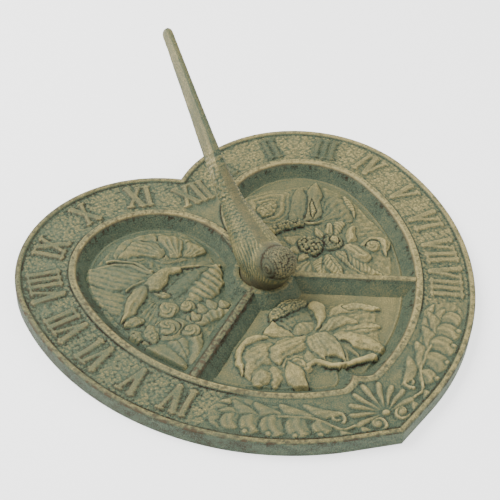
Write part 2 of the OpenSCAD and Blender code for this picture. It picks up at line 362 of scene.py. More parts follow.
class Relief:
    """A picture in relief, as heights over its ground. Each shape is laid over the ones before it."""

    def __init__(self, x, y):
        self.x, self.y = x, y
        self.h = np.zeros(x.shape)
        self.grain = np.zeros(x.shape)
        self.tint = np.zeros(x.shape)

    def near(self, outline, margin=2.0):
        low, high = outline.min(0) - margin, outline.max(0) + margin
        return (self.x > low[0]) & (self.x < high[0]) & (self.y > low[1]) & (self.y < high[1])

    def shape(self, points, rise, dome, pattern=None, edge=1.4, groove=0.25, grain=0.0, tint=0.0):
        """A form inside a smooth outline: its edge stands rise over the ground and its middle domes up
        over that. pattern(x, y, depth) adds to its height."""
        outline = smooth_outline(points)
        part = self.near(outline)
        if not part.any():
            return
        x, y = self.x[part], self.y[part]
        depth = inside_depth(x, y, outline)
        inner = np.clip(depth, 0, None)
        deepest = max(inner.max(), 1e-6)
        rim = np.sqrt(1 - (1 - np.clip(inner / edge, 0, 1)) ** 2)
        h = rise * rim + 1.25 * dome * (1 - (1 - inner / deepest) ** 2)
        if pattern is not None:
            h = h + pattern(x, y, inner) * step(0.1, 1.0, inner)
        ground = self.h[part]
        ground = ground - groove * lump(depth, 0.7) * (ground > 0.3)
        self.h[part] = np.where(depth > 0, h, ground)
        self.grain[part] = np.where(depth > 0, grain, self.grain[part])
        self.tint[part] = np.where(depth > 0, tint, self.tint[part])

    def leaf(self, base, tip, width, rise, dome, pattern=None, bow=0.0, round_base=0.7, round_tip=0.9,
             frill=0, groove=0.25):
        """A leaf or petal from base to tip. bow bends it sideways, and frill scallops its edge."""
        (bx, by), (tx, ty) = base, tip
        length = math.hypot(tx - bx, ty - by)
        ux, uy = (tx - bx) / length, (ty - by) / length
        belly = round_base / (round_base + round_tip)
        side = []
        for s in np.linspace(0.02, 0.98, 15):
            w = width / 2 * (s / belly) ** round_base * ((1 - s) / (1 - belly)) ** round_tip
            if frill:
                w *= 1 + 0.16 * abs(math.sin(math.pi * frill * s)) - 0.08
            side.append((s, w))
        def at(s, t):
            off = t + bow * length * 4 * s * (1 - s)
            return bx + ux * s * length - uy * off, by + uy * s * length + ux * off
        points = [base, base] + [at(s, w) for s, w in side] + [tip, tip] + [at(s, -w) for s, w in side[::-1]]
        self.shape(points, rise, dome, pattern, groove=groove)

    def twig(self, points, radius, rise=1.0, taper=0.3, bent=True):
        """A round stem through the points, thinner towards its end."""
        if bent and len(points) > 2:
            ends = [points[0], points[0], *points[1:-1], points[-1], points[-1]]
            curve = smooth_outline(ends + points[-2:0:-1], 6)
            points = [tuple(p) for p in curve[: 6 * (len(points) - 1) + 1]]
        n = len(points) - 1
        for i, (a, b) in enumerate(zip(points, points[1:])):
            part = self.near(np.array([a, b], float), radius + 2)
            if not part.any():
                continue
            d, t = to_segment(self.x[part], self.y[part], a, b)
            r = radius * (1 - taper * (i + t) / n)
            h = rise + np.sqrt(np.clip(1 - (d / r) ** 2, 0, 1)) * r
            ground = self.h[part]
            self.h[part] = np.where(d < r, np.maximum(ground, h), ground)

    def rose(self, at, radius, rise, pitch, turn=0.0):
        """A round bloom whose petals wrap round its middle."""
        def wrap(x, y, depth):
            r = np.hypot(x - at[0], y - at[1])
            swirl = r / pitch + np.arctan2(y - at[1], x - at[0]) / (2 * math.pi) * 3 + turn
            return 0.65 * (swirl - np.floor(swirl)) - 0.3
        ring = []
        for i, a in enumerate(np.radians(range(0, 360, 36))):
            wide = radius * (1 + 0.07 * (i % 2))
            ring.append((at[0] + wide * math.cos(a), at[1] + radius * math.sin(a)))
        self.shape(ring, rise, 1.0, wrap)


def stripes(degrees, pitch, height):
    """Even ridges that run in one direction."""
    return lambda x, y, depth: height * np.cos(2 * math.pi * turned(x, y, (0, 0), degrees)[1] / pitch)


def veins(root, degrees, pitch, height, lean=0.8, groove=0.5):
    """A mid vein from the root, with side veins that lean forward from it."""
    def pattern(x, y, depth):
        s, t = turned(x, y, root, degrees)
        side = height * np.cos(2 * math.pi * (s - lean * np.abs(t)) / pitch)
        return side * step(0.2, 1.0, np.abs(t)) - groove * lump(t, 0.55)
    return pattern


def rays(root, count, height):
    """Ridges that spread from a root, count of them in a full turn."""
    return lambda x, y, depth: height * np.cos(count * np.arctan2(y - root[1], x - root[0]))


def stipple(pitch, height, seed=1):
    """Round grains."""
    return lambda x, y, depth: height * (pebbles(x, y, pitch, seed) - 0.3)


def contours(pitch, height):
    """Ridges that follow the outline inwards."""
    return lambda x, y, depth: height * np.cos(2 * math.pi * depth / pitch)


def shell(foot, size):
    """Rings round a foot, sinking towards it."""
    def pattern(x, y, depth):
        reach = np.hypot(x - foot[0], y - foot[1]) / size
        return 0.15 * np.cos(2 * math.pi * reach / 0.6) - 0.75 * step(1.3, 0.2, reach)
    return pattern


def both(*patterns):
    return lambda x, y, depth: sum(p(x, y, depth) for p in patterns)


# In the pictures, a shape's outline, or a leaf's base, tip and width, is followed by its rise and its
# dome, and then by its pattern.
def blossom_picture(r):
    """The lower panel: an open blossom seen from the side, over leaves, with two buds and a twig."""
    # low foliage that joins the leaves
    r.shape([(-32, -36), (-19, -33), (10, -32), (30, -36), (38, -45), (33, -57), (25, -68), (12, -62),
            (-6, -66), (-22, -63), (-36, -55), (-42, -45)],
            0.9, 0.7, both(rays((0, -48), 44, 0.18), contours(5.0, 0.12)), edge=2.4)
    # broad leaf at the far left, under its rolled edge
    r.shape([(-44, -47), (-38, -40), (-32, -38), (-25, -38), (-20, -41), (-22, -47), (-26, -54), (-33, -52),
            (-38, -53), (-43, -57)], 1.5, 1.3, both(rays((-20, -43), 26, 0.1), stipple(3.0, 0.25, 8)))
    r.shape([(-45, -52), (-44, -44), (-38, -36), (-30, -32), (-23, -33), (-18, -38), (-25, -38), (-32, -38),
            (-38, -42), (-41, -48)], 1.9, 1.1, rays((-28, -52), 18, 0.1))
    # leaves to the right: one with a rough end, a small one and a long pointed one under a broad one
    r.shape([(8, -42), (14, -37), (21, -35), (29, -36), (36, -40), (41, -48), (34, -47), (28, -44),
            (18, -43)], 1.5, 0.9, veins((10, -41), -8, 4.2, 0.1))
    r.shape([(24, -37), (31, -37.5), (37, -42), (41, -48), (35, -47), (30, -43), (25, -41)],
            1.8, 0.6, stipple(2.0, 0.4, 5))
    r.shape([(10, -51), (16, -49), (24, -50), (30, -53), (35, -58), (29, -59), (21, -58)],
            1.4, 0.8, veins((10, -51), -18, 3.6, 0.12))
    r.shape([(6, -51), (13, -51), (20, -56), (25, -63), (27, -70), (25, -76), (20, -70), (15, -66),
            (9, -62), (6, -57)], 1.8, 1.5, veins((8, -53), -50, 4.2, 0.1, lean=0.5, groove=0.25))
    r.shape([(2, -47), (7, -43), (14, -41), (20, -43), (25, -48), (25, -52), (17, -50), (9, -50)],
            2.2, 1.1, rays((-2, -52), 34, 0.16))
    # buds, a frilled leaf and a spear-shaped one below the blossom
    r.shape([(-33, -55), (-28, -54), (-26, -60), (-29, -65), (-36, -66), (-36, -60)],
            1.4, 0.9, stipple(2.8, 0.35, 7))
    r.shape([(-40, -53), (-35, -52), (-32, -57), (-35, -62), (-41, -62), (-43, -57)],
            1.6, 1.3, contours(3.0, 0.14))
    r.shape([(-27, -57), (-24, -53), (-18, -51), (-12, -53), (-9, -58), (-11, -64), (-17, -66), (-23, -62)],
            1.5, 1.0, both(contours(2.6, 0.28), rays((-20, -66), 16, 0.1)))
    r.leaf((-19, -54), (-25, -79), 11, 1.9, 1.3, rays((-20, -46), 20, 0.12), bow=-0.05, round_base=0.8,
            round_tip=0.8)
    # small leaves that hang below the blossom
    r.leaf((-9, -53), (-7, -67), 6.5, 1.5, 0.8, bow=-0.12)
    r.leaf((9, -58), (5, -71), 6, 1.2, 0.8, bow=-0.1)
    r.leaf((7, -56), (12, -70), 5, 1.0, 0.6, bow=0.12)
    # twig at the bottom
    r.twig([(-14, -62), (-9, -62.5), (-6, -65), (-2, -69), (3, -71), (9, -72), (17, -73.5)],
            1.3, rise=1.7, taper=-0.6)
    # the large leaf in front, to the left of the blossom's foot
    r.shape([(-3, -45), (-9, -42), (-17, -41), (-24, -43), (-27, -49), (-26, -56), (-19, -53), (-12, -54),
            (-5, -52)], 2.2, 1.2, both(rays((2, -49), 34, 0.14), contours(5.0, 0.1)))
    # the blossom: stamens, the hollow of its cup, and the petals round it
    r.shape([(-13, -30), (-12, -25), (-8, -21), (-2, -19.5), (5, -20), (9, -23), (11, -28), (6, -31),
            (-3, -31)], 2.3, 1.0, stipple(1.7, 0.7, 4), tint=-0.13, grain=1)
    r.shape([(-13, -30), (-6, -28.5), (1, -29), (8, -30), (8, -37), (2, -43), (-5, -44), (-11, -41)],
            1.8, 0.5, both(rays((-2, -56), 50, 0.08), contours(4.0, 0.14)), tint=-0.14)
    r.shape([(-21, -34), (-16, -30.5), (-12, -29), (-11, -33), (-9, -38), (-8, -44), (-14, -42.5),
            (-19, -39)], 2.4, 1.2, rays((-4, -46), 18, 0.1))
    r.shape([(-6, -37), (-1, -36), (4, -38), (5, -42), (1, -45), (-6, -45), (-9, -42)],
            2.0, 0.6, rays((0, -26), 30, 0.16), tint=-0.05)
    r.shape([(8, -30), (12, -27.5), (16, -30), (16.5, -35), (14, -40), (9, -43), (2, -45), (5, -40),
            (7, -35)], 2.7, 1.4, rays((0, -48), 16, 0.08))
    # squarish petal that hangs in front, frilled along its lower edge
    r.shape([(-5, -48), (0, -46), (5, -47), (8, -51), (8, -57), (7, -63), (4, -69), (2, -64), (-2, -62),
            (-4, -65), (-6, -61), (-8, -55)], 2.5, 1.3, both(rays((1, -40), 40, 0.1), stipple(3.2, 0.2, 9)))


def butterfly_picture(r):
    """The right-hand panel: a butterfly over flowers and leaves."""
    # foliage that fills the ground
    r.shape([(21, 26), (20, 54), (33, 62), (52, 57), (66, 52), (77, 38), (79, 16), (77, -6), (68, -22),
            (54, -31), (36, -20), (16, -8), (17, 1), (27, 8), (24, 18)],
            0.5, 0.5, both(rays((46, 10), 40, 0.2), contours(6.0, 0.16)), edge=1.6)
    # flowers and leaves along the lower rib
    r.shape([(14, -3), (20, 1), (27, 1), (30, -5), (27, -10), (20, -9)], 1.3, 1.0, rays((34, 2), 24, 0.3))
    r.leaf((38, -1), (28, -14), 10, 1.6, 1.0, veins((38, -1), 232, 2.2, 0.25), bow=-0.1)
    r.leaf((40, 0), (38, -20), 9, 1.9, 1.0, veins((40, 0), 264, 2.4, 0.25), bow=-0.08)
    r.leaf((45, 0), (49, -24), 9, 1.6, 1.0, veins((45, 0), 280, 2.4, 0.25), bow=0.06)
    r.leaf((50, -4), (58, -30), 8, 1.3, 0.9, veins((50, -4), 290, 2.6, 0.22), bow=-0.1)
    r.shape([(50, 0), (57, 0), (60, -8), (60, -15), (55, -17), (51, -12)], 2.0, 1.2, contours(3.2, 0.25))
    r.shape([(60, -4), (66, -1), (73, -3), (76, -8), (74, -14), (68, -18), (69, -12), (64, -8)],
            1.6, 1.3, contours(3.0, 0.35))
    r.rose((66, -8), 4.6, rise=1.9, pitch=2.0)
    # curled petals to the right of the flower
    r.shape([(55, 0), (57, 6), (62, 11), (67, 10), (64, 4), (60, -1)], 2.0, 1.2, contours(2.8, 0.25))
    r.leaf((52, 8), (66, 19), 7, 1.6, 0.9, stripes(110, 1.9, 0.28), bow=0.1)
    r.leaf((49, 9), (56, 20), 5.5, 2.0, 0.8, stripes(60, 1.7, 0.25))
    r.leaf((45, 9), (46, 20), 6, 2.0, 0.8, stripes(85, 1.7, 0.25))
    r.leaf((41, 10), (28, 23), 10, 1.3, 0.8, bow=0.12)
    r.leaf((34, 8), (24, 12), 7, 1.4, 0.8)
    r.leaf((32, 4), (23, 3), 6, 1.7, 0.8, stripes(0, 1.8, 0.2))
    # the butterfly: four wings and a long stippled body
    r.shape([(47, 23), (56, 27), (62, 33), (69, 38), (75, 37), (77, 30), (74, 21), (68, 14), (60, 18),
            (52, 20)], 1.4, 0.9, both(rays((42, 22), 44, 0.14), contours(5.5, 0.12)), tint=-0.1)
    r.shape([(71, 16), (75, 21), (77, 29), (76, 35), (73, 30), (71, 22)], 2.0, 0.5, stripes(150, 2.2, 0.35))
    r.shape([(42, 28), (50, 38), (58, 47), (65, 51), (70, 51), (67, 43), (62, 35), (55, 26), (48, 25)],
            1.9, 0.9, rays((38, 22), 44, 0.1), tint=-0.1)
    r.leaf((50, 26), (58, 41), 3.6, 2.6, 0.3, stripes(152, 1.8, 0.25))
    r.shape([(36, 29), (41, 38), (48, 47), (56, 53), (60, 51), (57, 43), (51, 34), (45, 28)],
            1.6, 0.7, rays((38, 20), 40, 0.08), tint=-0.1)
    r.shape([(23, 40), (23, 52), (25, 60), (34, 60.5), (43, 58), (51, 52), (45, 44), (39, 36), (30, 34)],
            1.4, 0.8, contours(4.2, 0.3))
    r.shape([(25, 42), (27, 49), (33, 51), (39, 49.5), (37, 44), (31, 40)],
            2.4, 0.7, stipple(2.2, 0.6, 9), grain=0.6)
    r.shape([(23, 26), (30, 25), (38, 23.5), (42, 24), (43, 27.5), (37, 30.5), (30, 32), (23, 32)],
            2.4, 1.0, stipple(1.8, 0.9, 6), tint=-0.16, grain=1)
    r.twig([(43, 26), (48, 23), (53, 22.5)], 0.9, rise=1.6)
    # flower centres
    r.shape([(29, 9), (32, 14), (37, 15.5), (42, 12.5), (43, 7), (40, 2.5), (34, 1), (30, 4)],
            2.4, 1.3, stipple(2.1, 1.1, 12), tint=-0.14, grain=1)
    r.shape([(41, 3), (43, 8.5), (48, 11), (53, 8.5), (54, 3.5), (50, -0.5), (44, -1)],
            2.2, 1.2, stipple(1.7, 0.8, 15), tint=-0.14, grain=1)
    r.rose((48.5, 5), 3.0, rise=3.2, pitch=1.6)


def hummingbird_picture(r):
    """The left-hand panel: a hovering hummingbird among leaves and roses."""
    # foliage that fills the ground
    r.shape([(-82, 44), (-70, 53), (-57, 60), (-40, 62.5), (-22, 55), (-14, 43), (-16, 22), (-26, 4),
            (-37, -14), (-48, -27), (-62, -35), (-73, -24), (-80, -8), (-84, 16)],
            0.5, 0.5, both(rays((-52, 14), 38, 0.2), contours(6.0, 0.16)), edge=1.6)
    # smooth leaf at the back, the ribbed one over it and the shell-like petals below
    r.shape([(-16, 20), (-22, 24), (-31, 24), (-41, 22), (-50, 16), (-49, 11), (-40, 10), (-30, 13)],
            1.3, 0.9, tint=-0.13)
    r.leaf((-46, 2), (-15, 21), 14, 1.7, 1.0, stripes(112, 4.2, 0.3), bow=-0.08, round_tip=0.6, frill=5)
    r.shape([(-50, -5), (-45, -1), (-37, 0), (-29, -2), (-23, -8), (-25, -13), (-36, -14), (-47, -14)],
            1.6, 1.1, rays((-37, -24), 26, 0.2))
    for x, y, w in ((-45, -5, 3.6), (-39.5, -2.5, 3.8), (-33.5, -2.5, 3.8), (-28, -5, 3.4)):
        r.shape([(x - w, y - 3), (x - w * 0.6, y + 1.5), (x, y + 2.8), (x + w * 0.6, y + 1.5),
                (x + w, y - 3), (x, y - 6)], 2.0, 0.7, rays((x, y - 9), 20, 0.1))
    # petals that hang below the roses
    r.shape([(-80, -15), (-74, -12), (-66, -15), (-62, -24), (-63, -33), (-67, -36), (-73, -31),
            (-78, -24)], 1.4, 1.3, rays((-70, -4), 14, 0.08))
    r.shape([(-62, -10), (-56, -14), (-55, -20), (-59, -27), (-64, -31), (-66, -24), (-66, -14)],
            1.6, 1.1, veins((-60, -10), 262, 3.4, 0.12))
    r.shape([(-50, -11), (-46, -16), (-50, -25), (-56, -31), (-62, -36), (-63, -30), (-57, -22),
            (-55, -15)], 1.5, 1.0, rays((-46, -6), 22, 0.12))
    r.leaf((-78, 2), (-73, -14), 8, 1.3, 0.8, veins((-78, 2), 288, 3.2, 0.14))
    # roses
    r.shape([(-68, -3), (-61, 1), (-53, -2), (-50, -8), (-53, -14), (-61, -16), (-68, -11)],
            1.8, 1.3, contours(3.8, 0.25))
    r.rose((-60, -6.5), 6.2, rise=2.2, pitch=3.0, turn=0.3)
    r.rose((-51, -14), 4.8, rise=1.9, pitch=2.6, turn=0.7)
    r.rose((-54, 4), 5.8, rise=2.2, pitch=2.8)
    r.rose((-45, 1), 4.4, rise=2.0, pitch=2.4, turn=0.5)
    r.rose((-78, -5), 4.0, rise=1.8, pitch=2.2, turn=0.2)
    r.shape([(-79, 4), (-75, 8.5), (-70, 8), (-68, 4), (-72, 1.5)],
            1.7, 0.8, stipple(2.2, 0.5, 21), grain=0.6)
    r.shape([(-73, -3), (-68, 0), (-64, -4), (-66, -10), (-71, -14), (-74, -9)],
            1.7, 0.8, stipple(2.2, 0.5, 22), grain=0.6)
    r.leaf((-47, 12), (-57, 18), 6, 1.6, 0.8, veins((-47, 12), 145, 3.0, 0.14))
    # the frilled leaf above
    r.shape([(-60, 50), (-60, 55), (-54, 60), (-46, 62), (-37, 61), (-29, 57), (-23, 51), (-17, 43),
            (-15, 36), (-20, 31), (-31, 32), (-40, 35), (-45, 42), (-53, 44)],
            1.5, 0.9, both(rays((-38, 34), 26, 0.2), contours(5.5, 0.2)))
    r.shape([(-59, 51), (-52, 56), (-44, 58), (-37, 52), (-34, 42), (-40, 39), (-47, 45), (-54, 47)],
            2.1, 0.9, rays((-36, 38), 30, 0.16))
    r.shape([(-35, 37), (-29, 34), (-23, 39), (-22, 46), (-26, 53), (-32, 56), (-36, 50), (-34, 43)],
            2.0, 0.9, rays((-31, 33), 26, 0.18))
    r.shape([(-28, 34), (-21, 31), (-15, 33), (-15, 38), (-19, 43), (-24, 41)],
            1.9, 0.8, rays((-29, 32), 24, 0.16))
    # wings of the bird: the far one along the wall, then the near one
    r.shape([(-84, 38), (-79, 40), (-72, 32), (-68, 22), (-72, 15), (-78, 13), (-83, 22), (-85, 31)],
            1.1, 0.8, stripes(130, 3.4, 0.14))
    r.shape([(-50, 31), (-54, 38), (-61, 44), (-69, 49), (-78, 50), (-82, 45), (-79, 38), (-73, 31),
            (-66, 27), (-56, 26)], 1.7, 0.9, stripes(132, 3.6, 0.16))
    r.twig([(-49, 31), (-53, 38), (-59, 43.5), (-66, 47), (-76, 49.5)], 1.3, rise=1.6, taper=0.5)
    r.twig([(-48, 33), (-53, 42), (-59, 47), (-66, 50)], 1.0, rise=1.9, taper=0.4)
    # body, tail and bill
    r.shape([(-59, 24), (-53, 29), (-46, 31.5), (-39, 31), (-34, 28), (-35, 25), (-42, 24.5), (-46, 20),
            (-52, 17), (-58, 19)], 2.5, 1.4, stipple(2.6, 0.2, 30))
    r.shape([(-60, 26), (-56, 23), (-59, 17), (-66, 12), (-73, 8), (-79, 7), (-76, 13), (-71, 19),
            (-66, 24)], 2.1, 1.2, stripes(222, 3.2, 0.12))
    r.twig([(-56, 27.5), (-61, 27.5), (-67, 26.5)], 1.0, rise=1.9, taper=0.5)
    r.twig([(-36, 29.5), (-27, 25.5), (-15, 19)], 0.8, rise=1.6, taper=0.2)


def panel(name, low, high, picture, side):
    """A panel's floor with its picture, cut to reach just under the walls and ribs round it. side is
    1 for the panel on the right, -1 for the one on the left and 0 for the lower one."""
    xs = np.arange(low[0], high[0] + CELL / 2, CELL)
    ys = np.arange(low[1], high[1] + CELL / 2, CELL)
    x, y = np.meshgrid(xs, ys)
    bend_x = 0.9 * value_noise(x, y, 7.0, 61) + 0.35 * value_noise(x, y, 2.6, 62)
    bend_y = 0.9 * value_noise(x, y, 7.0, 63) + 0.35 * value_noise(x, y, 2.6, 64)
    relief = Relief(x + bend_x, y + bend_y)
    picture(relief)
    # the height: softened relief that dies away at the wall's foot, where a bead runs round
    d = inset_at(x, y)
    foot = BAND_W + WALL_RUN
    clear = step(foot - 1.7, foot + 0.8, d)
    soft = np.maximum(relief.h, 0.9 * blurred(relief.h, 5))
    soft = soft + 0.16 * value_noise(x, y, 1.7, 5) * step(0.1, 0.6, soft)
    bead = 0.55 * lump(d - foot - 1.0, 0.55) * (relief.h * clear < 0.7)
    h = FLOOR_H + 1.12 * soft * clear + bead
    h = h + 0.1 * value_noise(x, y, 5.0, 3) + 0.05 * value_noise(x, y, 1.3, 4)
    # the part that shows, and a little under the ribs
    _, above_rib = turned(np.abs(x), y, (0, 0), -RIB_ANGLE)
    hidden = 1.2
    kept = (above_rib > -hidden) & (side * x > -hidden) if side else above_rib < hidden
    kept &= (d > foot - 2.0) & (np.hypot(x, y) > HUB_R)
    # the colour: darker on the bare floor, painted shade in the crevices, and painted shade near the wall's
    # foot, on the floor and on the relief that dies there, where the wall shades it
    warmer = 0.0 if side else 0.07
    crevice_shade = np.clip(blurred(soft, 2) - soft, 0, 1)
    tone = warmer + patina_and_shade(soft, 2, 14) + blurred(relief.tint, 1) + 0.12 * lump(d - foot - 1.0, 0.5)
    tone = tone - 0.2 * crevice_shade - 0.1 * step(foot + 6.0, foot, d) - 0.05 * step(0.4, 0.1, relief.h)
    tone = tone - 0.2 * (1 - clear) * step(0.3, 1.0, relief.h)
    return slab(name, x, y, h, kept, tone, relief.grain)


def slab(name, x, y, h, kept, tone, grain):
    """A closed piece under the kept part of a height grid, with a flat underside."""
    rows, columns = x.shape
    cells = kept[:-1, :-1] & kept[1:, :-1] & kept[:-1, 1:] & kept[1:, 1:]
    number = np.arange(rows * columns).reshape(rows, columns)
    quads = np.stack([number[:-1, :-1], number[:-1, 1:], number[1:, 1:], number[1:, :-1]], -1)[cells]
    # the rim is made of the edges that only one quad has
    edges = np.concatenate([quads[:, [k, (k + 1) % 4]] for k in range(4)])
    key = edges[:, 0] * (rows * columns) + edges[:, 1]
    back = edges[:, 1] * (rows * columns) + edges[:, 0]
    rim = edges[~np.isin(key, back)]
    used, flat = np.unique(quads, return_inverse=True)
    lookup = np.full(rows * columns, -1)
    lookup[used] = np.arange(len(used))
    rim = lookup[rim]
    rim_points = np.unique(rim)
    below = np.full(len(used), -1)
    below[rim_points] = len(used) + np.arange(len(rim_points))
    top = np.stack([x.ravel(), y.ravel(), h.ravel()], -1)[used]
    under = top[rim_points] * np.array([1, 1, 0]) + np.array([0, 0, PANEL_BASE])
    walls = np.stack([rim[:, 1], rim[:, 0], below[rim[:, 0]], below[rim[:, 1]]], -1)
    pad = np.zeros(len(rim_points))
    tone, grain = (np.concatenate([v.ravel()[used], pad]) for v in (tone, grain))
    faces = np.concatenate([flat.reshape(quads.shape), walls])
    return capped(piece(name, np.concatenate([top, under]), faces, tone, grain))


# ---------- hour band ----------
HALF_COUNTS = (228, 272, 36)  # steps along lobe, side and tip
# part.scad's places: the outline's normals where the hours I to VIII stand
HOUR_NORMALS = (108, 76, 44.5, 16, -3, -14, -25, -35.5)
RIGHT_HOURS = ("I", "II", "III", "IV", "V", "VI", "VII", "VIII")
LEFT_HOURS = ("XI", "X", "IX", "VIII", "VII", "VI", "V", "IV")
GLYPH_W = {"I": 4.5, "V": 10.4, "X": 10.4}
NUMERAL_L, RAISE_H = 17.0, 1.1
BAND_MIDDLE = (RIM_RIDGE_W + INNER_RIDGE) / 2


def bar(x, y, a, b, width, height):
    """A straight raised bar with bevelled edges."""
    d, _ = to_segment(x, y, a, b)
    return height * step(width / 2 + 0.35, width / 2 - 0.25, d)


def glyph(kind, x, y):
    """One letter, standing up at the origin, with serifs at the ends of its strokes."""
    top, foot = NUMERAL_L / 2 - 0.8, -NUMERAL_L / 2 + 0.8
    thick, thin = 3.3, 2.2
    if kind == "I":
        strokes = [((0, top), (0, foot), 2.9)]
        ends = [(0, top), (0, foot)]
    elif kind == "V":
        strokes = [((-3.4, top), (0, foot), thick), ((3.4, top), (0, foot), thin)]
        ends = [(-3.3, top), (3.3, top)]
    else:
        strokes = [((-3.4, top), (3.4, foot), thick), ((3.4, top), (-3.4, foot), thin)]
        ends = [(-3.3, top), (3.3, top), (-3.3, foot), (3.3, foot)]
    strokes += [((ex - 1.6, ey), (ex + 1.7, ey), 1.5) for ex, ey in ends]
    return np.max([bar(x, y, a, b, width, RAISE_H) for a, b, width in strokes], 0)


def numeral(letters, x, y):
    """A whole numeral, centred, its top towards +y."""
    total = sum(GLYPH_W[c] for c in letters)
    raised = np.zeros_like(x)
    left = -total / 2
    for c in letters:
        raised = np.maximum(raised, glyph(c, x - left - GLYPH_W[c] / 2, y))
        left += GLYPH_W[c]
    return raised


def hour_place(normal, side):
    """Middle and outward direction of a numeral on the right (1) or left (-1) half."""
    x, y = (on_lobe if normal > JOIN_ANGLE else on_side)(BAND_MIDDLE, normal)
    return (side * x, y), normal if side > 0 else 180 - normal


def hours(x, y):
    """The height of all the numerals, XII at the notch."""
    raised = np.zeros_like(x)
    places = [((0.0, 73.5), 90.0, "XII")]
    for side, names in ((1, RIGHT_HOURS), (-1, LEFT_HOURS)):
        for normal, letters in zip(HOUR_NORMALS, names):
            places.append((*hour_place(normal, side), letters))
    reach = NUMERAL_L + 1
    for at, outward, letters in places:
        near = (np.abs(x - at[0]) < reach) & (np.abs(y - at[1]) < reach)
        along, across = turned(x[near], y[near], at, outward)
        raised[near] = np.maximum(raised[near], numeral(letters, -across, along))
    return raised


def band_profile():
    """Insets and heights once round the band's closed section, NaN where band_height gives the height."""
    wall = [(0.0, z) for z in (0.0, 0.6, 2.5, 4.5, 6.5, 7.8)]
    top = np.concatenate([
        np.arange(0.15, RIM_RIDGE_W + 0.9, 0.5),
        np.linspace(RIM_RIDGE_W + 1.2, INNER_RIDGE - 0.6, 52),
        np.linspace(INNER_RIDGE - 0.2, BAND_W + 0.8, 9),
        np.linspace(BAND_W + 1.5, BAND_W + WALL_RUN + 2.5, 11),
    ])
    under = [(top[-1], 0.9), (top[-1], 0.0), (BAND_W - 2, 0.0), (BAND_W - 2.3, HOLLOW_H), (15.0, HOLLOW_H),
             (SKIRT_W + 0.3, HOLLOW_H), (SKIRT_W, 0.0)]
    return np.array(wall + [(d, np.nan) for d in top] + under).T


def ridge(d, low, high, width=0.7):
    """1 on a ridge between two insets, with rounded flanks."""
    return step(low - width / 2, low + width, d) * step(high + width / 2, high - width, d)


def near_tip(y):
    """1 at the heart's tip, where the inner ridge is low, and 0 higher up."""
    return step(-60, -68, y)


def band_height(d, x, y):
    """Height of the band's upper surface without its lettering."""
    h = BAND_H - 0.35 * ridge(d, 4.5, 26.0, 2.0)
    rim = ridge(d, 0.0, RIM_RIDGE_W)
    inner = ridge(d, INNER_RIDGE, BAND_W + 0.6, 0.45)
    crest = RIDGE_H - 0.5 * near_tip(y)
    h = h + np.maximum((RIDGE_H - BAND_H) * rim * (d < 6), (crest - BAND_H) * inner)
    wall = np.clip((d - BAND_W + 0.1) / WALL_RUN, 0, 1)
    h = np.where(d > BAND_W - 0.1, crest - 0.1 - (crest - FLOOR_H) * wall, h)
    return h - 0.25 * np.clip(d - BAND_W - WALL_RUN, 0, 9)


def ring_of(middle, radius):
    """Eight points round a middle."""
    turn = np.radians(range(0, 360, 45))
    return [(middle[0] + radius * math.cos(a), middle[1] + radius * math.sin(a)) for a in turn]


def scroll(middle, size, turn, turns=0.95):
    """A spiral that rolls inwards, clockwise, from a point at its left."""
    points = []
    for t in np.linspace(0, 1, 22):
        a = math.radians(200 + turn - 360 * turns * t)
        reach = size * (1 - 0.62 * t)
        points.append((middle[0] + reach * math.cos(a), middle[1] + reach * math.sin(a)))
    return points


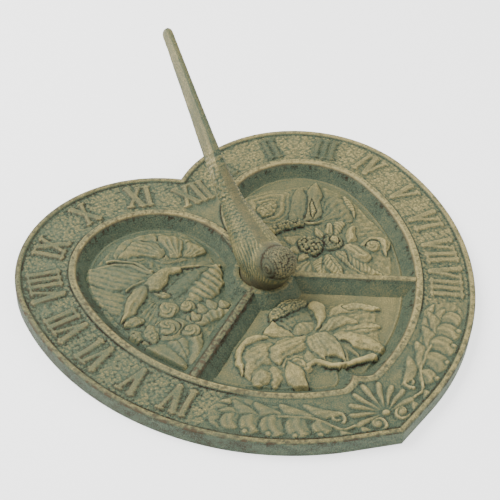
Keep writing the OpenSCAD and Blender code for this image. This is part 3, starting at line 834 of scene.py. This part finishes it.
def ornament(x, y):
    """Palmette and flowing acanthus leaves at the tip, alike on both sides, in low relief."""
    r = Relief(np.abs(x) + 0.4 * value_noise(x, y, 4.0, 71), y + 0.4 * value_noise(x, y, 4.0, 72))

    def place(degrees, inset):
        return tuple(on_side(inset, degrees))

    def flow(x, y, depth):
        inset = SIDE_R - np.hypot(x - SIDE_X, y - SIDE_Y)
        turn = np.degrees(np.arctan2(y - SIDE_Y, x - SIDE_X))
        return 0.14 * np.cos(2 * math.pi * (inset / 3.6 + turn / 11))

    # the long leaf down the middle of the band, whose top ends the stippled field
    r.shape([place(-42.5, 16), place(-43, 9), place(-46, 5.5), place(-51, 6.5), place(-57, 9), (35, -99),
            (29, -101), place(-61, 21), place(-55, 23), place(-50, 25.5), place(-46, 24), place(-44, 21)],
            0.4, 0.3, flow)
    for degrees, inset, lean in ((-45, 20.5, 0.2), (-45.5, 15, 0.1), (-46, 9.5, -0.15)):
        r.leaf(place(degrees - 5, inset * 0.7 + 5), place(degrees + 1.3, inset), 5.5, 0.65, 0.4, flow,
                bow=lean)
    # leaves that arch over on its inner side
    for degrees, width in ((-48, 6.5), (-53, 7), (-58.5, 7), (-64, 6)):
        r.leaf(place(degrees - 7, 16.5), place(degrees + 1.5, 24), width, 0.55, 0.4, flow, bow=-0.15,
                round_tip=0.6, groove=0.4)
    # shells that overlap down its outer side, and a small ball beside each
    shells = ((-47.5, 11, 5.2), (-51.5, 11, 6.0), (-56, 11, 6.8), (-61, 10.5, 6.6), (-65.5, 10, 4.8))
    for degrees, inset, size in shells:
        middle, foot = place(degrees, inset), place(degrees - 0.45 * size, inset + 2)
        r.shape(ring_of(middle, size), 0.65, 0.5, shell(foot, size), edge=1.0, groove=0.5)
    for degrees, inset in ((-50.5, 6.5), (-55, 6), (-60, 5.6), (-65, 5.4)):
        r.shape(ring_of(place(degrees, inset), 1.6), 0.7, 0.4, groove=0.4)
    # the stem, and the hooks that roll off it towards the palmette
    r.twig([place(-57, 16.5), place(-61, 16), place(-65, 14.5), (24, -105), (17, -106.5), (10, -107),
            (4, -112)], 0.8, rise=0.4, taper=0.2)
    r.twig(scroll((21.5, -98.5), 3.6, 60), 0.8, rise=0.4, taper=0.3, bent=False)
    r.leaf((25, -105), (19, -112), 5, 0.45, 0.35, bow=0.2)
    r.leaf((15, -107), (12, -113), 4, 0.45, 0.35, bow=0.2)
    # volutes and palmette on the centre line
    r.shape(ring_of((7.0, -111.0), 2.3), 0.6, 0.5)
    r.twig(scroll((7.0, -111.0), 4.4, 100), 0.85, rise=0.45, taper=0.3, bent=False)
    for lean in (90, 68, 46, 24, 0):
        a = math.radians(90 - lean)
        reach = 19.5 - 2.5 * abs(math.sin(math.radians(lean)))
        root = (2.6 * math.cos(a), -107 + 2.6 * math.sin(a))
        r.leaf(root, (reach * math.cos(a), -107 + reach * math.sin(a)), 3.3, 0.6, 0.35, round_base=1.1,
                round_tip=0.35)
    r.shape(ring_of((0, -107.5), 2.0), 0.8, 0.4)
    return r.h


def make_band():
    """The hour band in one closed ring: rim, stippled field, numerals, ornament, inner ridge and wall."""
    insets, heights = band_profile()
    right = np.stack([right_side(inset, HALF_COUNTS) for inset in insets])
    left = right[:, -2:0:-1] * np.array([-1, 1])
    x, y = np.moveaxis(np.concatenate([right, left], 1), -1, 0)
    d = np.broadcast_to(insets[:, None], x.shape)
    y = pushed_by_cusp(x, y, d)
    # the field is stippled down to the ornament, but for a smooth wedge below the XII
    marks, scrolls = hours(x, y), ornament(x, y)
    letters = np.clip(marks / RAISE_H, 0, 1)
    marked = np.clip(np.maximum(marks / RAISE_H, scrolls), 0, 1)
    field = ridge(d, RIM_RIDGE_W + 0.5, INNER_RIDGE - 0.4, 1.0)
    pebbled = step(-0.6, 0.6, y + 60.5 + 0.5 * np.maximum(np.abs(x) - 60, 0))
    wedge = step(13, 9, np.abs(x)) * step(70, 66, y) * step(28, 32, y)
    grain = field * (1 - marked) * pebbled * (1 - wedge)
    stones = pebbles(x, y, 2.1, 3)
    surface = band_height(d, x, y) + (marks + scrolls) * field + 0.26 * grain * (stones - 0.5)
    surface = surface + 0.12 * field * value_noise(x, y, 4.0, 11) + 0.05 * value_noise(x, y, 1.6, 12)
    is_top = np.isnan(heights)[:, None]
    z = np.where(is_top, surface, heights[:, None])
    # the colour of the field and its ridges: worn crests, and dark grooves at the ridges' feet and dark
    # slopes and halos round the letters, which are partly dark patina and partly painted shade; the letters'
    # slopes are tinted brown too
    ridges = np.maximum(ridge(d, 0.2, RIM_RIDGE_W - 0.4), ridge(d, INNER_RIDGE + 0.2, BAND_W + 0.1))
    grooves = lump(d - RIM_RIDGE_W - 0.7, 0.5) + lump(d - INNER_RIDGE + 0.5, 0.5) * (0.7 - 0.6 * near_tip(y))
    grooves = grooves * (0.7 + 0.5 * value_noise(x, y, 2.0, 15))
    letter_slope_shade = 4 * letters * (1 - letters)
    letter_shade_halo = np.clip(1.7 * blurred(letters, 3), 0, 1)
    worn = step(0.0, 0.7, value_noise(x, y, 1.1, 17))
    rusted = step(-0.5, 0.6, value_noise(x, y, 2.4, 18))
    top_tone = patina_and_shade(surface, 2, 5) + 0.12 * grain * (stones - 0.3) - ridges * (0.02 + 0.22 * worn)
    top_tone = top_tone - field * (0.04 * letter_shade_halo + 0.12 * letter_slope_shade + 0.05 * marks) - 0.26 * grooves
    top_tone = np.maximum(top_tone, HOLLOW_TONE * field) - 0.01 * field
    top_tone = top_tone - 0.2 * marks * field * step(50, 65, y) * step(5, 20, x)
    top_tone = top_tone - 0.06 * (1 - pebbled) * field * (1 - marked) - 0.3 * lump(d - 0.2, 0.45) * rusted
    # the colour of the wall down to the panels, with a painted shadow under the inner ridge's lip, also
    # tinted brown, and of the rim's side
    shadow_under_lip = lump(d - BAND_W - 0.5, 0.5) * (0.7 + 0.5 * value_noise(x, y, 6.0, 21))
    specks = step(0.1, 0.6, value_noise(x, y, 1.3, 16)) * lump(d - BAND_W - 1.6, 1.2)
    wall_tone = HOLLOW_TONE - 0.0008 * np.clip(x, 0, None) + 0.04 * value_noise(x, y, 7.0, 14)
    wall_tone = wall_tone - 0.4 * shadow_under_lip - 0.2 * specks
    wall = step(BAND_W + 0.2, BAND_W + 1.2, d)
    side_tone = SIDE_TONE + 0.08 * value_noise(x + z * 2, y, 3.0, 13)
    tone = np.where(is_top, top_tone * (1 - wall) + wall_tone * wall, side_tone)
    edge = lump(d - 0.2, 0.6) * rusted
    leftward = 0.55 - 0.004 * x
    brown = np.clip((0.9 * ridges * worn + edge + 1.1 * letter_slope_shade * field) * leftward + 0.8 * shadow_under_lip, 0, 1)
    points = np.stack([x, y, z], -1).reshape(-1, 3)
    faces = grid_faces(*x.shape, close_rows=True, close_columns=True)[:, ::-1]
    return piece("hour_band", points, faces, tone, grain * is_top, brown * is_top)


# ---------- gnomon ----------
STYLE_ANGLE, STYLE_SOUTH = 41.1, 7.7
BODY_VOXEL = 0.42
CROWN, CROWN_R = (-14.0, 27.0), 8.4
EYE, EYE_R = (-14.6, 27.2), 1.7
RING_POINTS = 64
# from the blade's tip to the breast: distance along the style, height of the middle over the style's
# line, half height, half width, and how square the section is
STATIONS = (
    (144.0, -4.7, 1.6, 0.8, 3.0), (143.3, -4.7, 3.0, 1.3, 4.0), (141.4, -4.7, 4.4, 1.6, 5.0),
    (136.0, -4.9, 5.2, 1.4, 5.0), (120.0, -5.9, 6.2, 1.4, 5.0), (100.0, -7.1, 7.4, 1.45, 5.0),
    (84.0, -8.1, 8.3, 1.7, 4.5), (74.0, -8.5, 8.6, 2.3, 3.4), (64.0, -8.4, 8.0, 3.9, 2.4),
    (56.0, -7.8, 7.4, 5.0, 2.1), (48.0, -6.9, 7.2, 6.1, 2.0), (41.0, -5.6, 7.9, 7.5, 2.0),
    (33.0, -3.4, 9.4, 9.3, 2.0), (24.0, -1.0, 11.2, 11.3, 2.0), (16.0, 1.2, 12.0, 12.2, 2.0),
    (9.0, 2.6, 11.2, 11.4, 2.0), (4.0, 3.4, 8.6, 8.8, 2.0), (1.6, 3.8, 5.0, 5.0, 2.0),
)


def style_frame(y, z):
    """Distance along the style's line, and height over it, of a point on the centre plane."""
    a = math.radians(STYLE_ANGLE)
    dy, dz = y + STYLE_SOUTH, z - SEAT_H
    return dy * math.cos(a) + dz * math.sin(a), dz * math.cos(a) - dy * math.sin(a)


def from_style(along, over):
    """The y and z of a point at that distance along the style's line and that height over it."""
    a = math.radians(STYLE_ANGLE)
    y, z = along * math.cos(a) - over * math.sin(a), along * math.sin(a) + over * math.cos(a)
    return y - STYLE_SOUTH, z + SEAT_H


def station(along, column):
    """A column of STATIONS, worked out at a distance along the style."""
    rows = STATIONS[::-1]
    return np.interp(along, [s[0] for s in rows], [s[column] for s in rows])


def lofted_body():
    """The blade and the bird's body, as rings round the style's direction."""
    stations = np.array(STATIONS)
    last = len(stations) - 1
    fine = np.linspace(0, last, 6 * last + 1)
    k = np.clip(np.floor(fine).astype(int), 0, last - 1)
    before, after = stations[np.clip(k - 1, 0, None)], stations[np.clip(k + 2, None, last)]
    rings = between(before, stations[k], stations[k + 1], after, (fine - k)[:, None])
    turn = np.linspace(0, 2 * math.pi, RING_POINTS, endpoint=False)
    c, s = np.cos(turn), np.sin(turn)
    along, middle, half_height, half_width, square = (rings[:, i : i + 1] for i in range(5))
    across = half_width * np.sign(s) * np.abs(s) ** (2 / square)
    over = middle + half_height * np.sign(c) * np.abs(c) ** (2 / square)
    y, z = from_style(np.broadcast_to(along, across.shape), over)
    points = np.stack([across, y, z], -1).reshape(-1, 3)
    return points, grid_faces(len(rings), RING_POINTS, close_columns=True)


def ball(bm, middle, radius):
    """Adds a round lump to a rough form."""
    made = bmesh.ops.create_icosphere(bm, subdivisions=4, radius=radius)
    bmesh.ops.translate(bm, verts=made["verts"], vec=middle)


def as_mesh(bm, name):
    mesh = bpy.data.meshes.new(name)
    bm.to_mesh(mesh)
    bm.free()
    return mesh


def breast():
    """The throat and breast down to the foot: a hull round two balls and the foot's edges."""
    bm = bmesh.new()
    ball(bm, (0, -13.0, 25.5), CROWN_R - 0.3)
    ball(bm, (0, 0.5, 17.0), 11.6)
    foot = SEAT_R - 0.35
    for a in np.linspace(0, 2 * math.pi, 48, endpoint=False):
        for r, z in ((foot, SEAT_H + 2.6), (foot, SEAT_H + 0.1), (3.2, SEAT_H + 0.1)):
            bm.verts.new((r * math.cos(a), r * math.sin(a), z))
    hull = bmesh.ops.convex_hull(bm, input=bm.verts)
    inner = {e for e in hull["geom_interior"] if isinstance(e, bmesh.types.BMVert)}
    bmesh.ops.delete(bm, geom=list(inner), context="VERTS")
    return as_mesh(bm, "breast")


def rough_bird():
    """Blade, body, head and breast as closed forms that run into one another."""
    points, faces = lofted_body()
    bm = bmesh.new()
    rows = [bm.verts.new(p) for p in points]
    for f in faces:
        bm.faces.new([rows[i] for i in f])
    close_holes(bm)
    ball(bm, (0, *CROWN), CROWN_R)
    ball(bm, (0, -7.5, 22.5), 9.6)
    bm.from_mesh(breast())
    return as_mesh(bm, "rough_bird")


def gnomon():
    """The bird and its blade: rough forms joined into one skin, smoothed, then carved."""
    obj = add_object("rough_bird", rough_bird())
    skin = obj.modifiers.new("skin", "REMESH")
    skin.mode = "VOXEL"
    skin.voxel_size = BODY_VOXEL
    soften = obj.modifiers.new("soften", "SMOOTH")
    soften.factor = 0.5
    soften.iterations = 4
    made = bpy.data.meshes.new_from_object(obj.evaluated_get(bpy.context.evaluated_depsgraph_get()))
    bpy.data.objects.remove(obj)
    co, normal = np.zeros(len(made.vertices) * 3), np.zeros(len(made.vertices) * 3)
    made.vertices.foreach_get("co", co)
    made.vertices.foreach_get("normal", normal)
    co, normal = co.reshape(-1, 3), normal.reshape(-1, 3)
    corners = np.zeros(len(made.loops), np.int64)
    made.loops.foreach_get("vertex_index", corners)
    lift, tone, grain, brown = carved(co)
    return piece("bird_gnomon", co + normal * lift[:, None], corners.reshape(-1, 4), tone, grain, brown)


def carved(co):
    """Feathers, scales, crown and eyes: how far each point moves out, and its tone, grain and brown."""
    x, y, z = co.T
    out = np.abs(x)
    along, over = style_frame(y, z)
    spine, half_height, half_width = (station(along, column) for column in (1, 2, 3))
    round_back = np.degrees(np.arctan2(out, over - spine))
    head = np.hypot(np.hypot(x, y - CROWN[0]), z - CROWN[1])
    # zones: blade, tail root, smooth back and nape, scaled flanks, striped breast and rough foot
    body = step(62, 52, along)
    blade = step(60, 70, along)
    on_head = step(CROWN_R + 2.2, CROWN_R + 0.8, head) * step(-4, -8, y)
    back = step(2.9, 2.1, out) * (over > spine) * step(70, 62, along) * step(14, 20, along)
    nape_smooth = step(CROWN_R + 6.0, CROWN_R + 3.0, head) * step(18, 22, z)
    belly = step(118, 150, round_back)
    low = np.clip(step(14.5, 8.5, z) + step(19, 13, z) * step(-3, -8, y), 0, 1)
    root = step(44, 54, along) * step(84, 70, along) * (1 - back * 0.7)
    flank = body * (1 - on_head) * (1 - back) * (1 - low) * (1 - nape_smooth)
    scaled = flank * step(22, 29, along)
    striped = flank * step(29, 22, along)
    # patterns
    girth = round_back / 57.3 * np.clip(half_width, 3, 13)
    scale_row = along / 2.0 + 0.9 * np.abs(np.mod(girth / 2.4, 1) - 0.5)
    scale_row = scale_row + 0.3 * value_noise(girth, along, 3.0, 56)
    scale = np.mod(scale_row, 1)
    scales = scaled * (0.55 * (1 - scale) * step(0, 0.18, scale) - 0.2)
    lane = (girth + 0.22 * along + 0.5 * value_noise(girth, along, 4.0, 57)) / 1.8
    barbs = np.mod(along / 4.2 + 0.5 * np.floor(lane), 1)
    feathers = striped * (0.26 * np.cos(2 * math.pi * lane) + 0.16 * (1 - barbs) * step(0, 0.15, barbs))
    stones = root * (pebbles(girth + 0.3 * z, along, 1.7, 31) - 0.4)
    # crown, the brow under it, and the fold round the nape
    tilted = z + 0.35 * (y + 14)
    cap = on_head * step(20.0, 22.0, tilted) * step(6.9, 6.2, out)
    round_head = CROWN_R * np.arctan2(z - CROWN[1], CROWN[0] - y)
    crown_stones = pebbles(x, round_head, 1.1, 41)
    brow = on_head * lump(tilted - 20.5, 0.8)
    nape = body * lump(head - CROWN_R - 1.3, 0.6) * step(-14, -9, y)
    eye = np.hypot(y - EYE[0], z - EYE[1]) + 9 * (out < 5)
    near_eye = step(2 * EYE_R, 2.6, eye)
    lift = 0.55 * scales + 0.85 * feathers + 0.35 * stones + 0.4 * cap * (crown_stones - 0.35)
    lift = lift - 0.45 * brow - 0.3 * nape
    lift = lift * (1 - near_eye) + near_eye * (0.55 * lump(eye - EYE_R, 0.5) + 0.45 * lump(eye, 0.7) - 0.15)
    lift = lift + 0.06 * value_noise(x + z, y, 2.4, 51) + 0.04 * value_noise(x + z, y - z, 0.9, 52)
    # the colour: light on the carving's ridges and dark in its grooves, partly patina and partly painted
    # shade
    tone = 0.43 + 0.1 * value_noise(x + z, y - z, 6, 53) + 0.8 * scales + 0.6 * feathers
    tone = tone + 0.3 * stones + 0.6 * cap * (crown_stones - 0.55)
    tone = tone + near_eye * (0.2 * lump(eye - EYE_R, 0.5) - 0.4 * lump(eye - 1.0, 0.35))
    tone = tone - 0.25 * lump(eye - 2.7, 0.5) - 0.2 * on_head * lump(out - 6.6, 0.5) * (z > 21)
    tone = tone * (1 - back) + back * (0.45 + 0.05 * value_noise(x, y, 2, 54))
    # the lower part and throat painted darker and browner, partly brown patina and partly painted shade
    tone = tone * (1 - low) + low * (0.33 + 0.1 * value_noise(x, y - z, 3, 55))
    # painted shade darkens the belly's underside; the grooves of brow and nape are darker, partly patina and
    # partly painted shade
    tone = tone - 0.3 * brow - 0.3 * nape - 0.12 * belly * body - 0.07 * nape_smooth * body
    # the blade has a darker style edge and dark corners
    corner = np.degrees(np.arctan2(half_width, half_height))
    tone = tone - 0.11 * blade * step(corner + 1, corner - 2, round_back)
    tone = tone - 0.2 * blade * lump(round_back - corner, 1.6)
    tone = tone - 0.25 * blade * lump(180 - round_back - corner, 2.5) + 0.1 * blade
    return lift, tone, 0.5 * cap + 0.5 * root, 0.7 * low + 0.35 * nape_smooth * body + 0.3 * back


# ---------- materials ----------
PATINA_STOPS = (
    (0.0, (0.014, 0.008, 0.003)), (0.13, (0.038, 0.032, 0.014)), (0.26, (0.046, 0.08, 0.053)),
    (0.38, (0.1, 0.115, 0.06)), (0.55, (0.18, 0.16, 0.068)), (0.75, (0.36, 0.3, 0.122)),
    (1.0, (0.52, 0.445, 0.2)),
)
# the brown that tints rust stains, and the painted shade that some of the meshes' brown holds
GREEN, RUST_AND_SHADE = (0.09, 0.118, 0.072), (0.085, 0.058, 0.03)


def material(name):
    """A new material, its node tree and its shader."""
    made = bpy.data.materials.new(name)
    made.use_nodes = True
    return made, made.node_tree, made.node_tree.nodes["Principled BSDF"]


def set_inputs(tree, node, inputs):
    """Links each input to the output given for it, or sets it to the constant given."""
    for key, value in inputs.items():
        if isinstance(value, bpy.types.NodeSocket):
            tree.links.new(value, node.inputs[key])
        else:
            node.inputs[key].default_value = value


def add_node(tree, kind, inputs=None, **settings):
    node = tree.nodes.new("ShaderNode" + kind)
    for key, value in settings.items():
        setattr(node, key, value)
    set_inputs(tree, node, inputs or {})
    return node


def noise_in(tree, where, size, detail=3.0, rough=0.6):
    """Noise with lumps about size millimetres across."""
    inputs = {"Vector": where, "Scale": 1 / (size * MM), "Detail": detail, "Roughness": rough}
    return add_node(tree, "TexNoise", inputs).outputs["Fac"]


def mapped(tree, value, low, high, start=0.0, end=1.0):
    """The value's run from start to end, spread over low to high."""
    inputs = {"Value": value, "From Min": start, "From Max": end, "To Min": low, "To Max": high}
    return add_node(tree, "MapRange", inputs).outputs["Result"]


def plain_metal(name, colour, roughness):
    """Bare metal with a slightly uneven shine."""
    made, tree, shader = material(name)
    where = add_node(tree, "TexCoord").outputs["Object"]
    uneven = mapped(tree, noise_in(tree, where, 1.5, 2.0, 0.5), roughness - 0.1, roughness + 0.1)
    set_inputs(tree, shader, {"Base Color": (*colour, 1), "Metallic": 1.0, "Roughness": uneven})
    return made


def verdigris(name, greener):
    """Cast iron with a verdigris finish: dark brown in the crevices, teal in the hollows and khaki
    where it is rubbed, driven by the tone, grain and brown that each mesh holds. The dark crevices
    and some of the brown are partly painted shade."""
    made, tree, shader = material(name)
    where = add_node(tree, "TexCoord").outputs["Object"]

    def held(attribute):
        return add_node(tree, "Attribute", attribute_name=attribute).outputs["Fac"]

    def maths(operation, *values):
        return add_node(tree, "Math", dict(enumerate(values)), operation=operation).outputs[0]

    def tinted(factor, under, colour):
        """under, mixed with a colour by the factor."""
        inputs = {"Factor": factor, 6: under, 7: (*colour, 1)}
        return add_node(tree, "Mix", inputs, data_type="RGBA").outputs[2]

    # the level on the colour ramp: the mesh's tone, with speckle, mottle, patches and grains
    stone = add_node(tree, "TexVoronoi", {"Vector": where, "Scale": 1 / (1.25 * MM)})
    stones = maths("MULTIPLY", maths("SUBTRACT", 0.45, stone.outputs["Distance"]), held("grain"))
    speckle = maths("SUBTRACT", noise_in(tree, where, 0.55, 2.0), 0.5)
    patch = maths("SUBTRACT", noise_in(tree, where, 9.0), 0.5)
    mottle = maths("SUBTRACT", noise_in(tree, where, 2.2, 4.0, 0.7), 0.5)
    level = held("tone")
    for part, share in ((speckle, 0.75), (mottle, 0.26), (patch, 0.14), (stones, 0.35)):
        level = maths("MULTIPLY_ADD", part, share, level)
    ramp = add_node(tree, "ValToRGB", {"Fac": level})
    while len(ramp.color_ramp.elements) < len(PATINA_STOPS):
        ramp.color_ramp.elements.new(0.5)
    for element, (at, colour) in zip(ramp.color_ramp.elements, PATINA_STOPS):
        element.position = at
        element.color = (*colour, 1)
    # patches where the green has spread over the khaki, mostly on the left, and brown: rust stains, and the
    # meshes' brown, which is rust and in places painted shade
    sides = add_node(tree, "SeparateXYZ", {"Vector": where})
    leftward = maths("MULTIPLY_ADD", sides.outputs["X"], -0.8, noise_in(tree, where, 14.0, 5.0, 0.65))
    greened = tinted(mapped(tree, leftward, 0.0, greener, 0.5, 0.68), ramp.outputs["Color"], GREEN)
    stains = mapped(tree, noise_in(tree, where, 5.5, 4.0, 0.7), 0.0, 0.3, 0.6, 0.75)
    rusted = tinted(maths("MAXIMUM", stains, maths("MULTIPLY", held("brown"), 0.8)), greened, RUST_AND_SHADE)
    # a fine cast texture
    height = maths("MULTIPLY_ADD", stones, 0.9, maths("MULTIPLY", speckle, 0.8))
    height = maths("MULTIPLY_ADD", noise_in(tree, where, 0.28, 1.0), 0.35, height)
    bump = add_node(tree, "Bump", {"Strength": 1.0, "Distance": 0.22 * MM, "Height": height})
    set_inputs(tree, shader, {"Base Color": rusted, "Roughness": mapped(tree, level, 0.78, 0.5),
                              "Specular IOR Level": 0.28, "Normal": bump.outputs["Normal"]})
    return made


# ---------- camera, floor and light ----------
CAMERA_DISTANCE = 610 * MM
CAMERA_AZIMUTH, CAMERA_ELEVATION, CAMERA_ROLL = -35.27, 44.40, 4.15
SENSOR_W, LENS = 36.0, 83.376
SHIFT_X, SHIFT_Y = -0.02546, 0.06604  # parts of the frame's width
VIEWED_HEIGHT = 0.9 * MM


def make_camera():
    az, el, roll = (math.radians(v) for v in (CAMERA_AZIMUTH, CAMERA_ELEVATION, CAMERA_ROLL))
    back = Vector((math.sin(az) * math.cos(el), -math.cos(az) * math.cos(el), math.sin(el)))
    level = Vector((math.cos(az), math.sin(az), 0))
    upright = back.cross(level)
    right = level * math.cos(roll) + upright * math.sin(roll)
    up = upright * math.cos(roll) - level * math.sin(roll)
    data = bpy.data.cameras.new("camera")
    data.sensor_width = SENSOR_W
    data.lens = LENS
    data.shift_x, data.shift_y = SHIFT_X, SHIFT_Y
    data.clip_start = 0.01
    camera = add_object("camera", data)
    target = Vector((HUB.x, HUB.y, VIEWED_HEIGHT))
    turn = Matrix((right, up, back)).transposed().to_4x4()
    camera.matrix_world = Matrix.Translation(target + back * CAMERA_DISTANCE) @ turn
    bpy.context.scene.camera = camera


def make_floor():
    mesh = bpy.data.meshes.new("floor")
    half = 3.0
    corners = [(-half, -half, 0), (half, -half, 0), (half, half, 0), (-half, half, 0)]
    mesh.from_pydata(corners, [], [(0, 1, 2, 3)])
    made, tree, shader = material("pale_floor")
    set_inputs(tree, shader, {"Base Color": (0.93, 0.93, 0.93, 1), "Roughness": 0.9,
                              "Emission Color": (1, 1, 1, 1), "Emission Strength": 1.5})
    mesh.materials.append(made)
    floor = add_object("floor", mesh)


def area_light(name, place, size, power):
    """A square light that faces the hub."""
    data = bpy.data.lights.new(name, "AREA")
    data.size = size
    data.energy = power
    light = add_object(name, data)
    light.location = place
    light.rotation_euler = (Vector(place) * -1).to_track_quat("-Z", "Y").to_euler()


def make_light():
    world = bpy.data.worlds.new("studio")
    bpy.context.scene.world = world
    world.use_nodes = True
    background = world.node_tree.nodes["Background"]
    set_inputs(world.node_tree, background, {"Color": (1, 1, 1, 1), "Strength": 0.85})
    area_light("key", (-0.45, 0.5, 0.9), 0.7, 17)
    area_light("fill", (0.9, -0.5, 0.8), 0.9, 5)


make_camera()
make_floor()
make_light()
plate_iron = verdigris("verdigris_plate", 0.4)
bird_iron = verdigris("verdigris_gnomon", 0.1)
plate_pieces = (
    make_band(),
    rib("right_rib", 80.5, RIB_W, -RIB_ANGLE, top_tone=0.58, wear_and_shade=0.12),
    rib("left_rib", 80.5, RIB_W, 180 + RIB_ANGLE, wear_and_shade=0.32),
    rib("top_web", 36, WEB_W, 90),
    hub_ring(),
    panel("blossom_panel", (-66, -90), (66, -8), blossom_picture, 0),
    panel("butterfly_panel", (0, -56), (86, 68), butterfly_picture, 1),
    panel("hummingbird_panel", (-86, -56), (0, 68), hummingbird_picture, -1),
)
for part in plate_pieces:
    part.data.materials.append(plate_iron)
    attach(part, "root")
    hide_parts("dial_plate")
bird = gnomon()
bird.data.materials.append(bird_iron)
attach(bird, "root")
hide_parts("gnomon")
fixings = (
    ("fixing_screw", (0.62, 0.62, 0.6), 0.35),
    ("lock_washer", (0.2, 0.2, 0.2), 0.5),
    ("flat_washer", (0.3, 0.3, 0.3), 0.45),
)
for node, colour, roughness in fixings:
    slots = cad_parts[node].data.materials
    slots.clear()
    slots.append(plain_metal(node + "_metal", colour, roughness))
